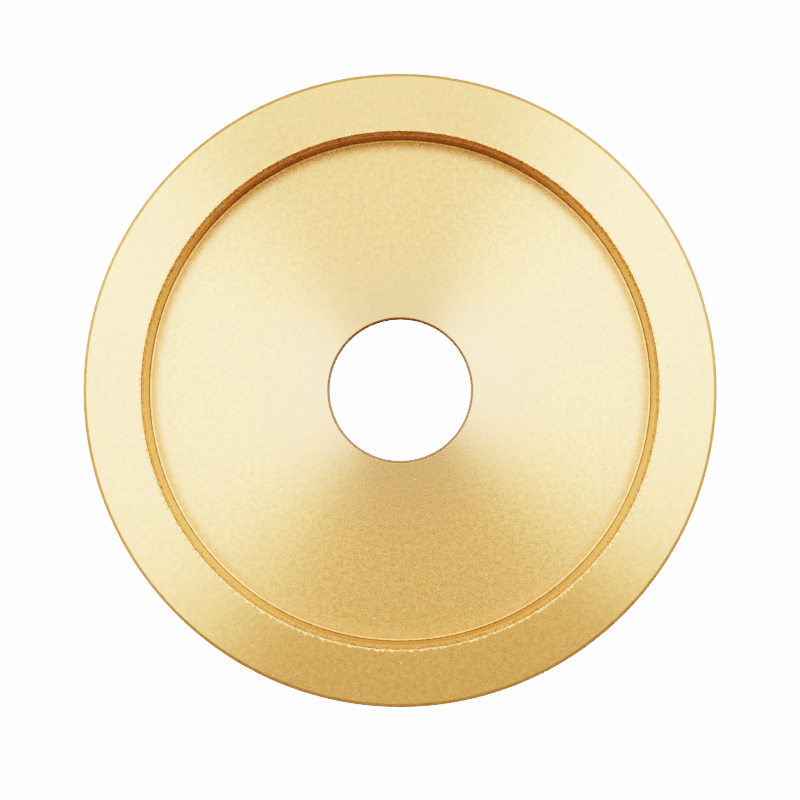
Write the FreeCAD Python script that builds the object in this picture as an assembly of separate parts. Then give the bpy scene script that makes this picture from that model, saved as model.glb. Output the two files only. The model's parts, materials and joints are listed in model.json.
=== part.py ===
import FreeCAD, Part

import os

# Diamond face grinding wheel for lapidary work, in millimetres, +Z up.
# The wheel's axis is the Y axis and its grinding face looks along -Y.
# The origin is on the axis, halfway through the wheel's width.
#
# Every piece is a ring turned about the axis, so each one is drawn as a half section
# of (radius, y) points and revolved. From the grinding face backwards the pieces are the
# diamond ring, its diamond-free backing ring, the bonding film and the turned core.

# Whole wheel
outer_diameter = 108.0
overall_width = 22.0

# Abrasive ring and what holds it
rim_width = 10.0            # radial width of the grinding face
diamond_height = 4.0        # depth of the diamond-bearing layer
backing_height = 1.0        # diamond-free layer sintered under it
tongue_width = 3.0          # tongue on the backing ring that centres it in the core
tongue_height = 1.5
film_thickness = 0.15       # bonding film, on the seat and round the tongue
film_setback = 0.3          # the film ends this far inside both walls of the rim

# Core
web_thickness = 11.0
bore_diameter = 25.4
recess_fillet_radius = 0.3  # where the recess wall meets the web

# Edge breaks
face_edge_break = 0.7       # outer edge of the grinding face
recess_edge_break = 0.12    # inner edge of the grinding face
bore_edge_break = 0.15      # both ends of the bore
back_edge_break = 1.0       # outer edge of the back face

# Derived radii
outer_radius = outer_diameter / 2
recess_radius = outer_radius - rim_width
bore_radius = bore_diameter / 2
tongue_inner = (recess_radius + outer_radius - tongue_width) / 2
tongue_outer = tongue_inner + tongue_width
groove_inner = tongue_inner - film_thickness
groove_outer = tongue_outer + film_thickness

# Derived planes along the axis, from the grinding face to the back
face_y = -overall_width / 2
diamond_back_y = face_y + diamond_height
backing_back_y = diamond_back_y + backing_height
tongue_end_y = backing_back_y + tongue_height
seat_y = backing_back_y + film_thickness
groove_floor_y = tongue_end_y + film_thickness
back_y = overall_width / 2
web_y = back_y - web_thickness

AXIS_POINT = FreeCAD.Vector(0, 0, 0)
AXIS_DIRECTION = FreeCAD.Vector(0, 1, 0)


def point(radius, y):
    """A point of a half section, which lies in the XY plane."""
    return FreeCAD.Vector(radius, y, 0)


def revolve(edges):
    """Turn a closed half section about the wheel's axis into one solid."""
    section = Part.Face(Part.Wire(edges))
    return section.revolve(AXIS_POINT, AXIS_DIRECTION, 360)


def outline(corners):
    """Straight edges through the corners in turn, left open at the end."""
    return [Part.LineSegment(a, b).toShape() for a, b in zip(corners, corners[1:])]


def turned_ring(corners):
    """A ring whose half section is a polygon."""
    return revolve(outline(corners + corners[:1]))


def diamond_ring():
    """Plain rectangular ring with both edges of its grinding face broken."""
    return turned_ring([
        point(recess_radius, diamond_back_y),
        point(recess_radius, face_y + recess_edge_break),
        point(recess_radius + recess_edge_break, face_y),
        point(outer_radius - face_edge_break, face_y),
        point(outer_radius, face_y + face_edge_break),
        point(outer_radius, diamond_back_y),
    ])


def backing_ring():
    """Flat ring with a tongue standing back from it into the core."""
    return turned_ring([
        point(recess_radius, diamond_back_y),
        point(outer_radius, diamond_back_y),
        point(outer_radius, backing_back_y),
        point(tongue_outer, backing_back_y),
        point(tongue_outer, tongue_end_y),
        point(tongue_inner, tongue_end_y),
        point(tongue_inner, backing_back_y),
        point(recess_radius, backing_back_y),
    ])


def adhesive_film():
    """Film of even thickness that follows the seat and the groove."""
    film_inner = recess_radius + film_setback
    film_outer = outer_radius - film_setback
    return turned_ring([
        point(film_inner, backing_back_y),
        point(tongue_inner, backing_back_y),
        point(tongue_inner, tongue_end_y),
        point(tongue_outer, tongue_end_y),
        point(tongue_outer, backing_back_y),
        point(film_outer, backing_back_y),
        point(film_outer, seat_y),
        point(groove_outer, seat_y),
        point(groove_outer, groove_floor_y),
        point(groove_inner, groove_floor_y),
        point(groove_inner, seat_y),
        point(film_inner, seat_y),
    ])


def wheel_core():
    """Web with a bore, and a rim wall that carries the grooved seat."""
    fillet = recess_fillet_radius
    fillet_middle = fillet * (1 - 0.5 ** 0.5)
    wall_end = point(recess_radius, web_y - fillet)
    web_end = point(recess_radius - fillet, web_y)
    arc = Part.Arc(
        wall_end,
        point(recess_radius - fillet_middle, web_y - fillet_middle),
        web_end,
    ).toShape()
    rest = outline([
        web_end,
        point(bore_radius + bore_edge_break, web_y),
        point(bore_radius, web_y + bore_edge_break),
        point(bore_radius, back_y - bore_edge_break),
        point(bore_radius + bore_edge_break, back_y),
        point(outer_radius - back_edge_break, back_y),
        point(outer_radius, back_y - back_edge_break),
        point(outer_radius, seat_y),
        point(groove_outer, seat_y),
        point(groove_outer, groove_floor_y),
        point(groove_inner, groove_floor_y),
        point(groove_inner, seat_y),
        point(recess_radius, seat_y),
        wall_end,
    ])
    return revolve([arc] + rest)


nodes = {
    "wheel_core": wheel_core(),
    "diamond_ring": diamond_ring(),
    "backing_ring": backing_ring(),
    "adhesive_film": adhesive_film(),
}

os.makedirs("parts", exist_ok=True)
for name, shape in nodes.items():
    shape.exportStep("parts/" + name + ".step")
    print(name, "valid", shape.isValid(), "volume", round(shape.Volume, 1))
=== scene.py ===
import json
import math

import bpy
import numpy as np
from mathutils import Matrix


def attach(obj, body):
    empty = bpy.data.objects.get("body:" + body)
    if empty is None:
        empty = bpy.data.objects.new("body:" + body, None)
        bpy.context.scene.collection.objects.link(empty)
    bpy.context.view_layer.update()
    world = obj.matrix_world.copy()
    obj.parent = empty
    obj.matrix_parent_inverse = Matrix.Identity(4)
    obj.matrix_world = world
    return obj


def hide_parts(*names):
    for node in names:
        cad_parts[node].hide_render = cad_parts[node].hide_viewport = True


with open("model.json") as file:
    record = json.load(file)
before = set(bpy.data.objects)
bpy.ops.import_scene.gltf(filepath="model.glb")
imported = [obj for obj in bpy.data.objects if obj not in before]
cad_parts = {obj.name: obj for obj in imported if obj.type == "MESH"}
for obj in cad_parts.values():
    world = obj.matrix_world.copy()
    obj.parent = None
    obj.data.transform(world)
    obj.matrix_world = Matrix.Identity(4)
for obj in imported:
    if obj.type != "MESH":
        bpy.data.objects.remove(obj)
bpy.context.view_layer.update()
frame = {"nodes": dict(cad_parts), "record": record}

# --- Wheel core -----------------------------------------------------------------------------
# The body of the wheel, turned from a brass blank: a flat web with a plain bore, and a rim wall
# whose front carries the seat for the abrasive ring. Every face shows the lathe's fine lay.

MM = 0.001


def section_points(node):
    """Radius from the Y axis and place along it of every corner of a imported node."""
    mesh = frame["nodes"][node].data
    place = np.empty(len(mesh.vertices) * 3)
    mesh.vertices.foreach_get("co", place)
    x, y, z = place.reshape(-1, 3).T
    return np.hypot(x, z), y


def rounded_outline(corners, arc_points=6, hold=0.03 * MM):
    """Closed outline through corners given as (radius, y, rounding, rows to the next corner).

    Each corner becomes a quadratic curve from the point one rounding before it to the point one
    rounding after it: (1-t)^2 A + 2t(1-t) C + t^2 B. Each straight run gets a row a hair inside
    both of its ends, so that it shades flat, and its own number of rows between. Returns the
    points, the corner that each belongs to, and 1 for points on a rounded corner."""
    points, owner, edge = [], [], []
    t = np.linspace(0, 1, arc_points)[:, None]
    for i, (radius, y, rounding, rows) in enumerate(corners):
        here = np.array([radius, y])
        before = np.array(corners[i - 1][:2]) - here
        after_corner = corners[(i + 1) % len(corners)]
        after = np.array(after_corner[:2]) - here
        start = here + before / np.linalg.norm(before) * rounding
        end = here + after / np.linalg.norm(after) * rounding
        arc = (1 - t) ** 2 * start + 2 * t * (1 - t) * here + t ** 2 * end if rounding else [here]
        run = np.linalg.norm(after) - rounding - after_corner[2]
        along = np.linspace(0, run, rows + 2)[1:-1]
        if rounding:
            along = np.append(hold, along)
        if after_corner[2]:
            along = np.append(along, run - hold)
        straight = end + after / np.linalg.norm(after) * along[:, None]
        points += [arc, straight]
        owner += [i] * (len(arc) + len(straight))
        edge += [float(rounding > 0)] * len(arc) + [0.0] * len(straight)
    return np.vstack(points), np.array(owner), np.array(edge)


def turned_mesh(name, outline, steps, edge, rise=0.0, sink=0.0):
    """Surface of revolution about the Y axis: the outline point (r, y) stands at
    (r cos a, y, r sin a) for every angle a of a full turn, and both directions close.

    rise moves each point of the grid along the radius and sink moves it along +Y, in metres. The
    corner mask goes into the mesh as the attribute "worn"."""
    count = len(outline)
    angle = np.linspace(0, 2 * np.pi, steps, endpoint=False)
    radius = outline[:, :1] + rise + np.zeros(steps)
    y = outline[:, 1:] + sink + np.zeros(steps)
    grid = np.stack([radius * np.cos(angle), y, radius * np.sin(angle)], axis=-1)
    row, turn = np.meshgrid(np.arange(count), np.arange(steps), indexing="ij")
    next_row, next_turn = (row + 1) % count, (turn + 1) % steps
    quads = np.stack([row * steps + turn, next_row * steps + turn,
                      next_row * steps + next_turn, row * steps + next_turn], axis=-1)
    mesh = bpy.data.meshes.new(name)
    mesh.vertices.add(count * steps)
    mesh.vertices.foreach_set("co", grid.ravel())
    mesh.loops.add(count * steps * 4)
    mesh.loops.foreach_set("vertex_index", quads.ravel().astype(np.int32))
    mesh.polygons.add(count * steps)
    mesh.polygons.foreach_set("loop_start", np.arange(0, count * steps * 4, 4, dtype=np.int32))
    mesh.update(calc_edges=True)
    mesh.polygons.foreach_set("use_smooth", np.ones(count * steps, dtype=bool))
    worn = mesh.attributes.new("worn", "FLOAT", "POINT")
    worn.data.foreach_set("value", np.repeat(edge, steps).astype(np.float32))
    return mesh


def finished_piece(name, mesh, slot, *nodes):
    """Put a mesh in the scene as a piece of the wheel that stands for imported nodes."""
    piece = bpy.data.objects.new(name, mesh)
    bpy.context.scene.collection.objects.link(piece)
    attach(piece, "root")
    if nodes:
        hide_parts(*nodes)
    return piece


def new_group(name, inputs, outputs):
    """A node group with inputs given as (name, number or vector) and outputs as (name, type)."""
    group = bpy.data.node_groups.new(name, "ShaderNodeTree")
    for label, value in inputs:
        kind = "NodeSocketVector" if isinstance(value, tuple) else "NodeSocketFloat"
        socket = group.interface.new_socket(label, in_out="INPUT", socket_type=kind)
        socket.default_value = value
    for label, kind in outputs:
        group.interface.new_socket(label, in_out="OUTPUT", socket_type=kind)
    return group, group.nodes.new("NodeGroupInput").outputs, group.nodes.new("NodeGroupOutput").inputs


def wire(tree, kind, *values, **settings):
    """Add a node, set its properties, and feed its inputs in order with sockets or constants."""
    node = tree.nodes.new(kind)
    for key, value in settings.items():
        setattr(node, key, value)
    for socket, value in zip(node.inputs, values):
        if isinstance(value, bpy.types.NodeSocket):
            tree.links.new(value, socket)
        elif value is not None:
            socket.default_value = value
    return node


def calc(tree, operation, *values):
    """One Math node, and its result."""
    return wire(tree, "ShaderNodeMath", *values, operation=operation).outputs[0]


def noise(tree, vector, scale, detail=2.0, roughness=0.5):
    """Noise on a place in the wheel's own frame, from 0 to 1."""
    node = wire(tree, "ShaderNodeTexNoise", vector, noise_dimensions="3D")
    node.inputs["Scale"].default_value = scale
    node.inputs["Detail"].default_value = detail
    node.inputs["Roughness"].default_value = roughness
    return node.outputs["Fac"]


def lathe_lay_group():
    """Fine rings left by the tool. Their height is noise along radius plus depth, which runs across
    a face and along a wall, and a slow noise over the surface fades them in and out."""
    tree, given, result = new_group(
        "lathe_lay",
        [("Pitch mm", 0.12), ("Evenness", 0.5)],
        [("Height", "NodeSocketFloat")])
    place = tree.nodes.new("ShaderNodeTexCoord").outputs["Object"]
    x, y, z = wire(tree, "ShaderNodeSeparateXYZ", place).outputs
    across = calc(tree, "SQRT", calc(tree, "ADD", calc(tree, "MULTIPLY", x, x),
                                     calc(tree, "MULTIPLY", z, z)))
    along = calc(tree, "DIVIDE", calc(tree, "ADD", across, y),
                 calc(tree, "MULTIPLY", given["Pitch mm"], MM))
    rings = tree.nodes.new("ShaderNodeTexNoise")
    rings.noise_dimensions = "1D"
    tree.links.new(along, rings.inputs["W"])
    rings.inputs["Scale"].default_value = 1.0
    rings.inputs["Detail"].default_value = 3.0
    patches = noise(tree, place, 90.0, 2.0)
    kept = wire(tree, "ShaderNodeMapRange", patches, 0.35, 0.65).outputs[0]
    fade = calc(tree, "ADD", given["Evenness"],
                calc(tree, "MULTIPLY", kept, calc(tree, "SUBTRACT", 1.0, given["Evenness"])))
    height = calc(tree, "MULTIPLY", calc(tree, "SUBTRACT", rings.outputs["Fac"], 0.5), fade)
    tree.links.new(height, result["Height"])
    return tree


def metal_grain_group():
    """Grain of the metal itself: a fine speckle, soft mottling, scattered small pits, and dotted
    stains that gather in clouds."""
    tree, given, result = new_group(
        "metal_grain",
        [("Grain mm", 0.25), ("Pits", 0.3)],
        [("Speckle", "NodeSocketFloat"), ("Mottle", "NodeSocketFloat"), ("Pit", "NodeSocketFloat"),
         ("Stain", "NodeSocketFloat")])
    place = tree.nodes.new("ShaderNodeTexCoord").outputs["Object"]
    grain_scale = calc(tree, "DIVIDE", 1 / MM, given["Grain mm"])
    fine = tree.nodes.new("ShaderNodeTexNoise")
    tree.links.new(place, fine.inputs["Vector"])
    tree.links.new(grain_scale, fine.inputs["Scale"])
    fine.inputs["Detail"].default_value = 2.0
    fine.inputs["Roughness"].default_value = 0.6
    tree.links.new(calc(tree, "SUBTRACT", fine.outputs["Fac"], 0.5), result["Speckle"])
    mottle = noise(tree, place, 1100.0, 2.0, 0.6)
    tree.links.new(calc(tree, "SUBTRACT", mottle, 0.5), result["Mottle"])
    cells = tree.nodes.new("ShaderNodeTexVoronoi")
    tree.links.new(place, cells.inputs["Vector"])
    cells.inputs["Scale"].default_value = 420.0
    near = wire(tree, "ShaderNodeMapRange", cells.outputs["Distance"], 0.10, 0.04).outputs[0]
    chosen = calc(tree, "LESS_THAN",
                  wire(tree, "ShaderNodeSeparateColor", cells.outputs["Color"]).outputs[0],
                  given["Pits"])
    tree.links.new(calc(tree, "MULTIPLY", near, chosen), result["Pit"])
    cloud = noise(tree, place, 70.0, 4.0, 0.6)
    cloud = wire(tree, "ShaderNodeMapRange", cloud, 0.56, 0.74).outputs[0]
    dots = noise(tree, place, 2600.0, 1.0)
    dots = wire(tree, "ShaderNodeMapRange", dots, 0.48, 0.66).outputs[0]
    tree.links.new(calc(tree, "MULTIPLY", cloud, dots), result["Stain"])
    return tree


def edge_wear_group():
    """Handling wear: the rounded corners marked by the attribute "worn", broken up by noise."""
    tree, _, result = new_group("edge_wear", [], [("Wear", "NodeSocketFloat")])
    marked = tree.nodes.new("ShaderNodeAttribute")
    marked.attribute_name = "worn"
    place = tree.nodes.new("ShaderNodeTexCoord").outputs["Object"]
    broken = wire(tree, "ShaderNodeMapRange", noise(tree, place, 900.0, 3.0), 0.38, 0.62).outputs[0]
    tree.links.new(calc(tree, "MULTIPLY", marked.outputs["Fac"], broken), result["Wear"])
    return tree


def flank_lean_group():
    """The long flanks of the lay face a little outwards, most of all near the bore where the tool
    runs slowest: normal + outward unit vector x lean x how squarely the surface faces along Y."""
    tree, given, result = new_group("flank_lean", [("Normal", (0.0, 0.0, 0.0)), ("Lean", 0.04)],
                                    [("Normal", "NodeSocketVector")])
    place = tree.nodes.new("ShaderNodeTexCoord").outputs["Object"]
    flat = wire(tree, "ShaderNodeVectorMath", place, (1, 0, 1), operation="MULTIPLY").outputs[0]
    outward = wire(tree, "ShaderNodeVectorMath", flat, operation="NORMALIZE").outputs[0]
    radius = wire(tree, "ShaderNodeVectorMath", flat, operation="LENGTH").outputs["Value"]
    most_at, none_at = 0.014, 0.040     # radii in metres
    fading = wire(tree, "ShaderNodeMapRange", radius, most_at, none_at).outputs[0]
    squarely = calc(tree, "ABSOLUTE", wire(tree, "ShaderNodeSeparateXYZ", given["Normal"]).outputs[1])
    amount = calc(tree, "MULTIPLY", squarely, calc(tree, "SUBTRACT", 1.0, fading))
    lean = wire(tree, "ShaderNodeVectorMath", outward, operation="SCALE")
    tree.links.new(calc(tree, "MULTIPLY", amount, given["Lean"]), lean.inputs["Scale"])
    leaned = wire(tree, "ShaderNodeVectorMath", given["Normal"], lean.outputs[0], operation="ADD")
    unit = wire(tree, "ShaderNodeVectorMath", leaned.outputs[0], operation="NORMALIZE")
    tree.links.new(unit.outputs[0], result["Normal"])
    return tree


lathe_lay = lathe_lay_group()
metal_grain = metal_grain_group()
edge_wear = edge_wear_group()
flank_lean = flank_lean_group()


def turned_metal(name, colour, roughness, lay_pitch, lay_depth, grain, grain_depth, speckle_tone,
                 pits, lean=0.03, mottle_tone=1.6, grazing=(1.0, 1.0, 1.0), hub_colour=None):
    """Turned metal: rings and grain shape the surface, and shine spreads across the rings. Pitch,
    depth and grain are in millimetres. mottle_tone sets both the tone and the height of the
    mottling. grazing dims the metal where it is seen along the surface, as torn grooves do; on the
    recess wall it is also painted shade. hub_colour is the tone that flanges rub it to round the
    bore. With it comes a thin pale film on the web, in the corner under the recess wall."""
    material = bpy.data.materials.new(name)
    material.use_nodes = True
    tree = material.node_tree
    shader = tree.nodes["Principled BSDF"]
    shader.inputs["Metallic"].default_value = 1.0
    lay = wire(tree, "ShaderNodeGroup", node_tree=lathe_lay)
    lay.inputs["Pitch mm"].default_value = lay_pitch
    spot = wire(tree, "ShaderNodeGroup", node_tree=metal_grain)
    spot.inputs["Grain mm"].default_value = grain
    spot.inputs["Pits"].default_value = pits
    speckle, mottle, pit, stain = spot.outputs
    wear = wire(tree, "ShaderNodeGroup", node_tree=edge_wear).outputs[0]

    tone = calc(tree, "ADD", calc(tree, "MULTIPLY", mottle, mottle_tone),
                calc(tree, "MULTIPLY", speckle, speckle_tone))
    tone = calc(tree, "ADD", tone, calc(tree, "MULTIPLY", lay.outputs["Height"], 0.10))
    tone = calc(tree, "SUBTRACT", calc(tree, "ADD", tone, 0.5), calc(tree, "MULTIPLY", pit, 0.5))
    tone = calc(tree, "ADD", tone, calc(tree, "MULTIPLY", wear, 0.15))
    shade = wire(tree, "ShaderNodeValToRGB", tone)
    shade.color_ramp.elements[0].color = (*(c * 0.8 for c in colour), 1)
    shade.color_ramp.elements[0].position = 0.2
    shade.color_ramp.elements[1].color = (*(c * 1.2 for c in colour), 1)
    shade.color_ramp.elements[1].position = 0.8
    tarnished = wire(tree, "ShaderNodeMix", data_type="RGBA")
    tree.links.new(calc(tree, "MULTIPLY", stain, 0.35), tarnished.inputs["Factor"])
    tree.links.new(shade.outputs[0], tarnished.inputs["A"])
    tarnished.inputs["B"].default_value = (*(c * 0.5 for c in colour), 1)
    base = tarnished.outputs["Result"]
    place = tree.nodes.new("ShaderNodeTexCoord").outputs["Object"]
    if hub_colour:
        # Radii and places in metres, and the most of each colour that shows.
        rub_inner, rub_outer, rub_most = 0.013, 0.028, 0.75
        film_inner, film_outer, film_most = 0.0408, 0.0437, 0.28
        film_colour = (0.92, 0.60, 0.36)
        recess_wall, behind_web = 0.0441, 0.001
        flat = wire(tree, "ShaderNodeVectorMath", place, (1, 0, 1), operation="MULTIPLY").outputs[0]
        radius = wire(tree, "ShaderNodeVectorMath", flat, operation="LENGTH").outputs["Value"]
        rubbed = wire(tree, "ShaderNodeMix", data_type="RGBA")
        rub = wire(tree, "ShaderNodeMapRange", radius, rub_inner, rub_outer, rub_most, 0.0).outputs[0]
        uneven = calc(tree, "MULTIPLY", calc(tree, "ADD", mottle, speckle), 2.5)
        uneven = calc(tree, "ADD", uneven, 1.0)
        tree.links.new(calc(tree, "MULTIPLY", rub, uneven), rubbed.inputs["Factor"])
        tree.links.new(base, rubbed.inputs["A"])
        rubbed.inputs["B"].default_value = (*hub_colour, 1)
        filmed = wire(tree, "ShaderNodeMix", data_type="RGBA")
        corner_film = wire(tree, "ShaderNodeMapRange", radius,
                           film_inner, film_outer, 0.0, film_most).outputs[0]
        along_axis = wire(tree, "ShaderNodeSeparateXYZ", place).outputs[1]
        on_web = calc(tree, "MULTIPLY", calc(tree, "LESS_THAN", radius, recess_wall),
                      calc(tree, "LESS_THAN", along_axis, behind_web))
        tree.links.new(calc(tree, "MULTIPLY", corner_film, on_web), filmed.inputs["Factor"])
        tree.links.new(rubbed.outputs["Result"], filmed.inputs["A"])
        filmed.inputs["B"].default_value = (*film_colour, 1)
        base = filmed.outputs["Result"]
    tree.links.new(base, shader.inputs["Base Color"])
    shader.inputs["Specular Tint"].default_value = (*grazing, 1)

    gloss = calc(tree, "ADD", roughness, calc(tree, "MULTIPLY", speckle, 0.10))
    gloss = calc(tree, "ADD", gloss, calc(tree, "MULTIPLY", pit, 0.15))
    gloss = calc(tree, "SUBTRACT", gloss, calc(tree, "MULTIPLY", wear, 0.05))
    tree.links.new(gloss, shader.inputs["Roughness"])
    shader.inputs["Anisotropic"].default_value = 0.85
    shader.inputs["Anisotropic Rotation"].default_value = 0.25

    height = calc(tree, "ADD", calc(tree, "MULTIPLY", lay.outputs["Height"], lay_depth),
                  calc(tree, "MULTIPLY", speckle, grain_depth))
    height = calc(tree, "ADD", height, calc(tree, "MULTIPLY", mottle, mottle_tone * 0.0022))
    height = calc(tree, "SUBTRACT", height, calc(tree, "MULTIPLY", pit, 0.012))
    bump = wire(tree, "ShaderNodeBump")
    bump.inputs["Strength"].default_value = 1.0
    bump.inputs["Distance"].default_value = MM
    tree.links.new(height, bump.inputs["Height"])
    leaned = wire(tree, "ShaderNodeGroup", node_tree=flank_lean)
    tree.links.new(bump.outputs[0], leaned.inputs["Normal"])
    leaned.inputs["Lean"].default_value = lean
    tree.links.new(leaned.outputs[0], shader.inputs["Normal"])

    round_axis = wire(tree, "ShaderNodeVectorMath", (0, 1, 0), place, operation="CROSS_PRODUCT")
    tree.links.new(round_axis.outputs[0], shader.inputs["Tangent"])
    return material


def honed_bore_painted_shade():
    """The bore's own finish: dull, with honing marks, and a dark brown colour that is painted shade,
    the dim light deep inside the bore.
    """
    material = bpy.data.materials.new("honed_bore_painted_shade")
    material.use_nodes = True
    tree = material.node_tree
    shader = tree.nodes["Principled BSDF"]
    shader.inputs["Specular IOR Level"].default_value = 0.05
    shader.inputs["Roughness"].default_value = 0.7
    lay = wire(tree, "ShaderNodeGroup", node_tree=lathe_lay)
    lay.inputs["Pitch mm"].default_value = 0.25
    shade = wire(tree, "ShaderNodeValToRGB", calc(tree, "ADD", lay.outputs["Height"], 0.5))
    # Both browns are painted shade: the darkness deep inside the bore, put into its colour.
    shade.color_ramp.elements[0].color = (0.16, 0.062, 0.016, 1)
    shade.color_ramp.elements[0].position = 0.3
    shade.color_ramp.elements[1].color = (0.29, 0.120, 0.034, 1)
    shade.color_ramp.elements[1].position = 0.7
    tree.links.new(shade.outputs[0], shader.inputs["Base Color"])
    bump = wire(tree, "ShaderNodeBump")
    bump.inputs["Distance"].default_value = MM
    tree.links.new(calc(tree, "MULTIPLY", lay.outputs["Height"], 0.004), bump.inputs["Height"])
    tree.links.new(bump.outputs[0], shader.inputs["Normal"])
    return material


core_radius, core_y = section_points("wheel_core")
ring_radius, ring_y = section_points("diamond_ring")
backing_radius, backing_y = section_points("backing_ring")
bore_mount = next(m for m in frame["record"]["mounts"] if m["name"] == "bore")
bore = bore_mount["dims"]["r_mm"] * MM
outer = core_radius.max()
recess = ring_radius.min()
back = core_y.max()
web = core_y[core_radius < recess - 2 * MM].min()
seat = core_y.min()
tongue_in = backing_radius[backing_y > backing_y.max() - 0.1 * MM].min()
tongue_out = backing_radius[backing_y > backing_y.max() - 0.1 * MM].max()
film_thickness = 0.15 * MM
groove_floor = backing_y.max() + film_thickness

core_steps = 640
bore_break = 0.15 * MM
back_break = 1.0 * MM
corner = 0.06 * MM
fillet = 0.3 * MM

bore_wall_corners = (8, 9, 10)      # places in the list below
fillet_corner = 12
core_corners = [
    (recess, seat, corner, 1),
    (tongue_in, seat, corner, 1),
    (tongue_in, groove_floor, corner, 1),
    (tongue_out, groove_floor, corner, 1),
    (tongue_out, seat, corner, 1),
    (outer, seat, corner, 6),
    (outer, back - back_break, corner, 2),
    (outer - back_break, back, corner, 12),
    (bore + bore_break, back, corner / 2, 0),
    (bore, back - bore_break, corner / 2, 4),
    (bore, web + bore_break, corner / 2, 0),
    (bore + bore_break, web, corner / 2, 12),
    (recess, web, fillet, 3),
]
core_outline, core_owner, core_edge = rounded_outline(core_corners, arc_points=5)
brass_colour = (0.83, 0.415, 0.15)
web_brass = turned_metal("turned_brass", brass_colour, roughness=0.155, lay_pitch=0.14,
                         lay_depth=0.0008, grain=0.22, grain_depth=0.0040, speckle_tone=3.4,
                         pits=0.06, hub_colour=(0.64, 0.37, 0.175))
# The recess wall and its fillet get a darker copy of the brass and a grazing tint that dims them
# further: partly their coarser bored finish, partly painted shade of the recess.
wall_brass = turned_metal("bored_brass_painted_shade", (0.66, 0.34, 0.13), roughness=0.22, lay_pitch=0.18,
                          lay_depth=0.0020, grain=0.20, grain_depth=0.010, speckle_tone=1.8,
                          pits=0.10, lean=0.0, grazing=(0.42, 0.55, 0.62))
core_finishes = [web_brass, wall_brass, honed_bore_painted_shade()]
core_mesh = turned_mesh("wheel_core_turned", core_outline, core_steps, core_edge)
for material in core_finishes:
    core_mesh.materials.append(material)
in_bore = (core_outline[:, 0] < bore + 0.6 * bore_break) & np.isin(core_owner, bore_wall_corners)
finish = np.where(core_owner == fillet_corner, 1, np.where(in_bore, 2, 0))
core_mesh.polygons.foreach_set("material_index", np.repeat(finish.astype(np.int32), core_steps))
finished_piece("wheel_core_turned", core_mesh, "turned_brass", "wheel_core")

# --- Bonding film ---------------------------------------------------------------------------
# A thin layer of cured adhesive between the backing ring and the core's seat. It is squeezed out
# when the ring is pressed home and wiped back, so it ends a little inside both walls.

film = frame["nodes"]["adhesive_film"]
cured = bpy.data.materials.new("bonding_film")
cured.use_nodes = True
shader = cured.node_tree.nodes["Principled BSDF"]
place = cured.node_tree.nodes.new("ShaderNodeTexCoord").outputs["Object"]
cloud = wire(cured.node_tree, "ShaderNodeValToRGB", noise(cured.node_tree, place, 700.0, 3.0))
cloud.color_ramp.elements[0].color = (0.10, 0.06, 0.03, 1)
cloud.color_ramp.elements[1].color = (0.22, 0.14, 0.07, 1)
cured.node_tree.links.new(cloud.outputs[0], shader.inputs["Base Color"])
shader.inputs["Roughness"].default_value = 0.5
film.data.materials.clear()
film.data.materials.append(cured)

# --- Backing ring ---------------------------------------------------------------------------
# A ring of bronze powder without diamond, pressed and sintered in one piece with the abrasive
# layer above it. Its tongue centres it in the core's groove, and its walls are turned flush.

def sintered_metal(name, colour, dark):
    """Metal as it left the mould: rough, dull, and stained dark between its grains."""
    material = bpy.data.materials.new(name)
    material.use_nodes = True
    tree = material.node_tree
    shader = tree.nodes["Principled BSDF"]
    shader.inputs["Metallic"].default_value = 1.0
    spot = wire(tree, "ShaderNodeGroup", node_tree=metal_grain)
    spot.inputs["Grain mm"].default_value = 0.22
    spot.inputs["Pits"].default_value = 0.5
    speckle, mottle, pit, _ = spot.outputs
    tone = calc(tree, "ADD", calc(tree, "MULTIPLY", speckle, 2.2),
                calc(tree, "MULTIPLY", mottle, 0.6))
    shade = wire(tree, "ShaderNodeValToRGB", calc(tree, "ADD", tone, 0.5))
    shade.color_ramp.elements[0].color = (*dark, 1)
    shade.color_ramp.elements[0].position = 0.25
    shade.color_ramp.elements[1].color = (*colour, 1)
    shade.color_ramp.elements[1].position = 0.7
    tree.links.new(shade.outputs[0], shader.inputs["Base Color"])
    tree.links.new(calc(tree, "ADD", 0.45, calc(tree, "MULTIPLY", speckle, 0.3)),
                   shader.inputs["Roughness"])
    bump = wire(tree, "ShaderNodeBump")
    bump.inputs["Strength"].default_value = 1.0
    bump.inputs["Distance"].default_value = MM
    tree.links.new(calc(tree, "MULTIPLY", speckle, 0.10), bump.inputs["Height"])
    tree.links.new(bump.outputs[0], shader.inputs["Normal"])
    return material


flank = sintered_metal("sintered_flank", (0.76, 0.49, 0.26), (0.26, 0.14, 0.07))
backing_steps = 720
inner_wall_corner = 7               # place in the list below
backing_front = backing_y.min()
backing_back = backing_y[backing_radius < tongue_in - 0.1 * MM].max()
backing_corners = [
    (recess, backing_front, corner / 2, 1),
    (outer, backing_front, corner / 2, 1),
    (outer, backing_back, corner / 2, 1),
    (tongue_out, backing_back, corner, 1),
    (tongue_out, backing_y.max(), corner, 1),
    (tongue_in, backing_y.max(), corner, 1),
    (tongue_in, backing_back, corner, 1),
    (recess, backing_back, corner / 2, 1),
]
backing_outline, backing_owner, backing_edge = rounded_outline(backing_corners, arc_points=4)
backing_mesh = turned_mesh("backing_ring_turned", backing_outline, backing_steps, backing_edge)
bronze = turned_metal("backing_bronze", (0.80, 0.40, 0.14), roughness=0.26, lay_pitch=0.14,
                      lay_depth=0.0012, grain=0.30, grain_depth=0.004, speckle_tone=0.9, pits=0.06)
backing_mesh.materials.append(bronze)
backing_mesh.materials.append(flank)
untrued = (backing_owner == inner_wall_corner) & (backing_edge == 0)
backing_mesh.polygons.foreach_set("material_index",
                                  np.repeat(untrued.astype(np.int32), backing_steps))
finished_piece("backing_ring_turned", backing_mesh, "backing_bronze", "backing_ring")

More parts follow.
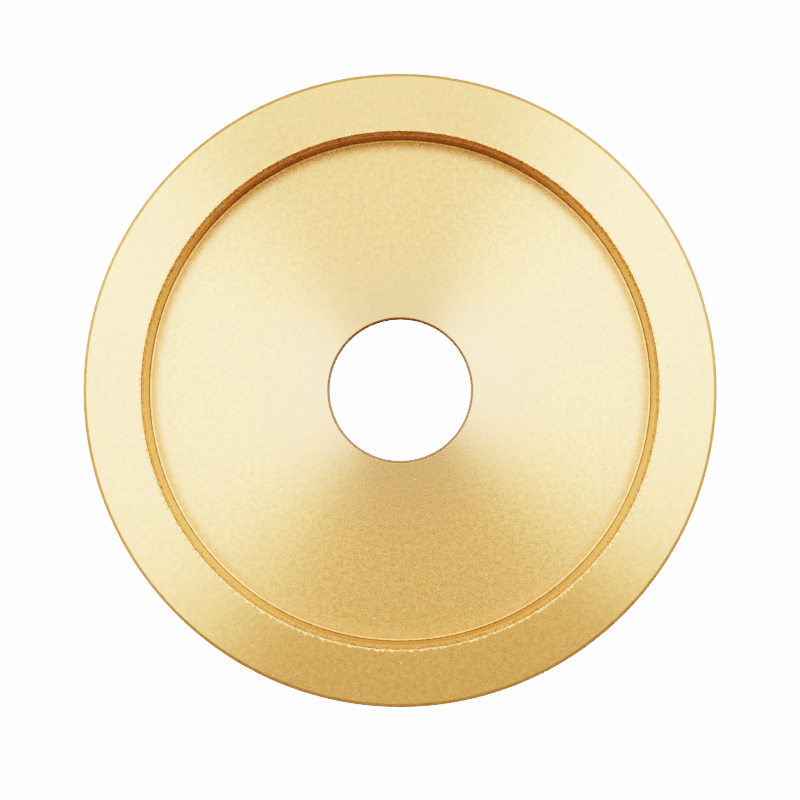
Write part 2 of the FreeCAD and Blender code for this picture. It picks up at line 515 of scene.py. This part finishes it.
# --- Diamond ring ---------------------------------------------------------------------------
# The abrasive layer: bronze powder and diamond grit, hot-pressed into a ring. Its face and outer
# wall are trued, but its inner wall stays as it left the mould, rough and chipped at the edge.

face_break = 0.70 * MM
chip_break = 0.12 * MM
chip_reach = 0.7 * MM
chip_rise_mm = 0.07
chip_sink_mm = 0.035
nick_depth_mm = 0.12
flank_rough_mm = 0.055
ring_steps = 1440
ring_front, ring_back = ring_y.min(), ring_y.max()
ring_corners = [
    (recess, ring_front + chip_break, corner, 0),
    (recess + chip_break, ring_front, corner, 5),
    (recess + chip_break + chip_reach, ring_front, 0, 4),
    (outer - face_break, ring_front, corner, 1),
    (outer, ring_front + face_break, corner, 2),
    (outer, ring_back, corner / 2, 1),
    (recess, ring_back, corner / 2, 18),
]
ring_outline, ring_owner, ring_edge = rounded_outline(ring_corners, arc_points=4)


def band_noise(rows, steps, fine, coarse, seed):
    """Smooth random field on a grid that closes round the ring: white noise whose spectrum is
    kept between two wavelengths, given in grid cells, and scaled to a spread of one."""
    field = np.fft.fft2(np.random.default_rng(seed).standard_normal((rows, steps)))
    down, round_ = np.meshgrid(np.fft.fftfreq(rows), np.fft.fftfreq(steps), indexing="ij")
    wave = np.hypot(down, round_)
    field = field * (np.exp(-(wave * fine) ** 2) - np.exp(-(wave * coarse) ** 2))
    field = np.fft.ifft2(field).real
    return field / field.std()


ring_r, ring_place = ring_outline[:, :1], ring_outline[:, 1:]
depth = ring_place - ring_front
on_flank = (ring_r < recess + 0.01 * MM).astype(float)
flank_fade = on_flank * np.clip((ring_back - 0.1 * MM - ring_place) / (0.4 * MM), 0, 1)
rough = np.clip(band_noise(len(ring_outline), ring_steps, 1.6, 9.0, 11), -1.8, 1.8)
rise = rough * flank_fade * flank_rough_mm * MM
from_edge = np.hypot(np.clip(ring_r - recess, 0, 1), depth * 0.6)
near_edge = np.clip(1 - from_edge / chip_reach, 0, 1) ** 2
chips = np.clip(band_noise(1, ring_steps, 2.0, 9.0, 5) - 0.4, -0.3, 2.0)
rise = rise + near_edge * chips * chip_rise_mm * MM
sunk = np.clip(band_noise(1, ring_steps, 2.0, 12.0, 6), 0, 2.0)
sink = near_edge * sunk * chip_sink_mm * MM
nicks = np.clip(band_noise(1, ring_steps, 2.0, 9.0, 8) - 2.3, 0, 1.5)
from_rim = np.hypot(outer - ring_r, np.clip(depth - face_break, 0, 1))
near_rim = np.clip(1 - from_rim / (2 * face_break), 0, 1)
rise = rise - near_rim * nicks * nick_depth_mm * MM
ring_mesh = turned_mesh("diamond_ring_trued", ring_outline, ring_steps, ring_edge, rise, sink)
bond = turned_metal("trued_bond", brass_colour, roughness=0.14, lay_pitch=0.16, lay_depth=0.0004,
                    grain=0.20, grain_depth=0.0004, speckle_tone=1.4, pits=0.08, mottle_tone=0.9)
ring_mesh.materials.append(bond)
ring_mesh.materials.append(flank)
rough_row = ((on_flank > 0) | ((ring_owner == 0)[:, None])).ravel().astype(np.int32)
ring_mesh.polygons.foreach_set("material_index", np.repeat(rough_row, ring_steps))
finished_piece("diamond_ring_trued", ring_mesh, "diamond_bond", "diamond_ring")

# --- Grit on the untrued flank --------------------------------------------------------------
# Diamond crystals that stand out of the bond where the ring's inner wall was never trued. Each is
# an eight-sided crystal of about 0.15 mm from corner to corner, sunk in the metal to about half.

grit_count = 1500
grit_reach_mm = (0.05, 0.10)        # from a crystal's middle to its corners
grit_first_mm, grit_spread_mm = 0.35, 3.4
grit_random = np.random.default_rng(21)


def grit_crystals(angles, places, sizes):
    """Octahedra with corners at +-size along three turned axes, one at each (angle, place) of the
    flank; a random turn of each comes from an orthogonal matrix (Q of a random matrix)."""
    corners = np.array([[1, 0, 0], [-1, 0, 0], [0, 1, 0], [0, -1, 0], [0, 0, 1], [0, 0, -1]], float)
    turns, _ = np.linalg.qr(grit_random.standard_normal((len(angles), 3, 3)))
    turns *= np.sign(np.linalg.det(turns))[:, None, None]
    middle = np.stack([recess * np.cos(angles), places, recess * np.sin(angles)], axis=-1)
    points = middle[:, None] + (corners @ turns) * sizes[:, None, None]
    faces = np.array([[0, 2, 4], [2, 1, 4], [1, 3, 4], [3, 0, 4],
                      [2, 0, 5], [1, 2, 5], [3, 1, 5], [0, 3, 5]])
    faces = faces + 6 * np.arange(len(angles))[:, None, None]
    return points.reshape(-1, 3), faces.reshape(-1, 3)


grit_points, grit_faces = grit_crystals(
    grit_random.uniform(0, 2 * np.pi, grit_count),
    ring_front + (grit_first_mm + grit_spread_mm * grit_random.random(grit_count)) * MM,
    grit_random.uniform(*grit_reach_mm, grit_count) * MM)
grit_mesh = bpy.data.meshes.new("flank_grit")
grit_mesh.from_pydata(grit_points.tolist(), [], grit_faces.tolist())
crystal = bpy.data.materials.new("diamond_crystal")
crystal.use_nodes = True
shader = crystal.node_tree.nodes["Principled BSDF"]
place = crystal.node_tree.nodes.new("ShaderNodeTexCoord").outputs["Object"]
hue = wire(crystal.node_tree, "ShaderNodeValToRGB", noise(crystal.node_tree, place, 900.0, 1.0))
hue.color_ramp.elements[0].color = (0.42, 0.38, 0.28, 1)
hue.color_ramp.elements[1].color = (0.78, 0.74, 0.60, 1)
crystal.node_tree.links.new(hue.outputs[0], shader.inputs["Base Color"])
shader.inputs["Roughness"].default_value = 0.15
shader.inputs["IOR"].default_value = 2.4
grit_mesh.materials.append(crystal)
finished_piece("flank_grit", grit_mesh, "diamond_bond")

# --- Studio ---------------------------------------------------------------------------------
# A pale floor under the wheel and a soft light tent: two broad panels left and right, a weaker one
# overhead and little from below. Two dark cards hang at the upper left and upper right near the
# wheel's axis, where only the web round the bore reflects them.

paper_glow = 6.0
backdrop_strength = 7.5
floor_mesh = bpy.data.meshes.new("floor")
reach = 3.0
floor_mesh.from_pydata([(-reach, -reach, -outer), (reach, -reach, -outer),
                        (reach, reach, -outer), (-reach, reach, -outer)], [], [(0, 1, 2, 3)])
floor = bpy.data.objects.new("floor", floor_mesh)
bpy.context.scene.collection.objects.link(floor)
paper = bpy.data.materials.new("floor_paper")
paper.use_nodes = True
shader = paper.node_tree.nodes["Principled BSDF"]
shader.inputs["Base Color"].default_value = (0.85, 0.85, 0.85, 1)
shader.inputs["Roughness"].default_value = 0.9
shader.inputs["Specular IOR Level"].default_value = 0.0
shader.inputs["Emission Color"].default_value = (1, 1, 1, 1)
shader.inputs["Emission Strength"].default_value = paper_glow
floor_mesh.materials.append(paper)
floor.visible_glossy = False
floor.visible_diffuse = False
floor.visible_shadow = False

world = bpy.data.worlds.new("light_tent")
bpy.context.scene.world = world
world.use_nodes = True
world.cycles.sampling_method = "NONE"
tree = world.node_tree
tree.nodes.clear()
direction = tree.nodes.new("ShaderNodeTexCoord").outputs["Generated"]
dx, _, dz = wire(tree, "ShaderNodeSeparateXYZ", direction).outputs
across = calc(tree, "SQRT", calc(tree, "ADD", calc(tree, "MULTIPLY", dx, dx),
                                 calc(tree, "ADD", calc(tree, "MULTIPLY", dz, dz), 1e-6)))
ux, uz = calc(tree, "DIVIDE", dx, across), calc(tree, "DIVIDE", dz, across)


def panel(angle_deg, strength, half_deg, soft_deg):
    """Light from a panel that fills a sector round the wheel's axis, fading at its sides. Angles
    run from +X towards +Z, and the panel reaches half_deg to each side with an edge of soft_deg."""
    angle = math.radians(angle_deg)
    toward = calc(tree, "ADD", calc(tree, "MULTIPLY", ux, math.cos(angle)),
                  calc(tree, "MULTIPLY", uz, math.sin(angle)))
    span = wire(tree, "ShaderNodeMapRange", toward, math.cos(math.radians(half_deg + soft_deg)),
                math.cos(math.radians(half_deg - soft_deg)), 0.0, strength,
                interpolation_type="SMOOTHSTEP")
    return span.outputs[0]


def off_axis(low, high, at_low, at_high):
    """A value that changes smoothly with the sine of the angle from the wheel's axis."""
    return wire(tree, "ShaderNodeMapRange", across, low, high, at_low, at_high,
                interpolation_type="SMOOTHSTEP").outputs[0]


sides = calc(tree, "ADD", panel(11, 3.15, 35, 28), panel(181, 3.2, 36, 26))
sides = calc(tree, "MULTIPLY", sides, off_axis(0.02, 0.10, 0.78, 1.0))
sides = calc(tree, "MULTIPLY", sides, off_axis(0.08, 0.17, 1.12, 0.86))
sides = calc(tree, "MULTIPLY", sides, off_axis(0.4, 1.0, 1.0, 0.12))
overhead = calc(tree, "MULTIPLY", panel(92, 1.0, 56, 40), off_axis(0.3, 0.7, 1.1, 1.75))
overhead = calc(tree, "MULTIPLY", overhead, off_axis(0.02, 0.17, 0.72, 1.0))
overhead = calc(tree, "MULTIPLY", overhead, off_axis(0.7, 1.0, 1.0, 0.08))
ambient = off_axis(0.6, 1.0, 0.64, 0.46)
light = calc(tree, "ADD", calc(tree, "ADD", sides, overhead), ambient)
dark_cards = calc(tree, "ADD", panel(48, 1.4, 22, 18), panel(147, 1.2, 22, 18))
dark_cards = calc(tree, "MULTIPLY", dark_cards, off_axis(0.07, 0.14, 1.0, 0.0))
light = calc(tree, "SUBTRACT", light, dark_cards)
brighter_upwards = wire(tree, "ShaderNodeMapRange", dz, -0.17, 0.17, 0.92, 1.18).outputs[0]
light = calc(tree, "MULTIPLY", light, brighter_upwards)
seen = wire(tree, "ShaderNodeBackground", (1, 1, 1, 1), backdrop_strength)
tent = wire(tree, "ShaderNodeBackground", (1, 1, 1, 1), light)
is_seen = tree.nodes.new("ShaderNodeLightPath").outputs["Is Camera Ray"]
both = wire(tree, "ShaderNodeMixShader", is_seen, tent.outputs[0], seen.outputs[0])
world_out = tree.nodes.new("ShaderNodeOutputWorld")
tree.links.new(both.outputs[0], world_out.inputs["Surface"])

# --- Camera ---------------------------------------------------------------------------------
# Square on to the grinding face, half a millimetre off the wheel's axis. A small lens shift sets
# the wheel's place in the frame.

camera_data = bpy.data.cameras.new("camera")
camera = bpy.data.objects.new("camera", camera_data)
bpy.context.scene.collection.objects.link(camera)
camera_distance = 0.322
frame_width = 0.1359
sensor_width = 36
off_centre = 0.5 * MM
camera.location = (off_centre, ring_front - camera_distance, off_centre)
camera.rotation_euler = (math.pi / 2, 0, 0)
camera_data.sensor_width = sensor_width
camera_data.lens = sensor_width * camera_distance / frame_width
camera_data.shift_x = -0.0038
camera_data.shift_y = -0.0156
camera_data.clip_start = 0.001
bpy.context.scene.camera = camera
view = bpy.context.scene.view_settings
view.view_transform = "Filmic"
view.look = "Very High Contrast"
